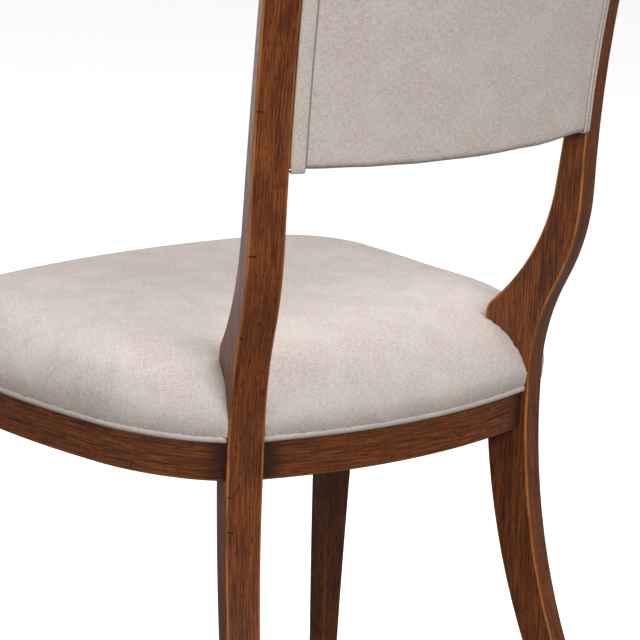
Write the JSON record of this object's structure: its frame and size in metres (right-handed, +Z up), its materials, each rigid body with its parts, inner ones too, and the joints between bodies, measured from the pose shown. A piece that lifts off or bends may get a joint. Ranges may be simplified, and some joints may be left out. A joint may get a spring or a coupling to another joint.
{
  "type": "dining chair",
  "caption": "Upholstered side chair with sawn sabre legs rising into the back stiles, a bowed seat ring, a crowned tight seat and a curved padded back tablet.",
  "frame": {"origin": "on the floor, under the middle of the chair's overall box", "axes": "+Z up, the sitter faces -Y, +X is the chair's left"},
  "size_m": [0.56, 0.594, 0.885],
  "materials": {
    "walnut_show_wood": "satin lacquer over a walnut stain",
    "beech_frame": "sawn, unfinished",
    "birch_plywood": "sanded, unfinished",
    "plated_steel": "zinc plated",
    "oatmeal_weave": "textured plain weave",
    "foam": "open cell",
    "wadding": "soft fibre",
    "black_cambric": "thin woven lining",
    "nylon_glide": "moulded"
  },
  "bodies": {
    "root": {"back_band_left": "oatmeal_weave", "back_band_right": "oatmeal_weave", "back_board": "birch_plywood", "back_bottom_rail": "beech_frame", "back_pad": "foam", "back_tenons": "beech_frame", "back_top_rail": "beech_frame", "corner_block_screws": "plated_steel", "dust_cover": "black_cambric", "dust_cover_staples": "plated_steel", "floor_glides": "nylon_glide", "front_left_corner_block": "beech_frame", "front_leg_left": "walnut_show_wood", "front_leg_right": "walnut_show_wood", "front_right_corner_block": "beech_frame", "front_seat_rail": "walnut_show_wood", "glide_nails": "plated_steel", "inside_back_cover": "oatmeal_weave", "left_seat_rail": "walnut_show_wood", "outside_back_cover": "oatmeal_weave", "outside_back_wadding": "wadding", "rail_tenons": "beech_frame", "rear_left_corner_block": "beech_frame", "rear_leg_left": "walnut_show_wood", "rear_leg_right": "walnut_show_wood", "rear_right_corner_block": "beech_frame", "rear_seat_rail": "walnut_show_wood", "right_seat_rail": "walnut_show_wood", "seat_board": "birch_plywood", "seat_board_screws": "plated_steel", "seat_cover": "oatmeal_weave", "seat_foam": "foam", "seat_welt_front": "oatmeal_weave", "seat_welt_rear": "oatmeal_weave"}
  },
  "joints": []
}
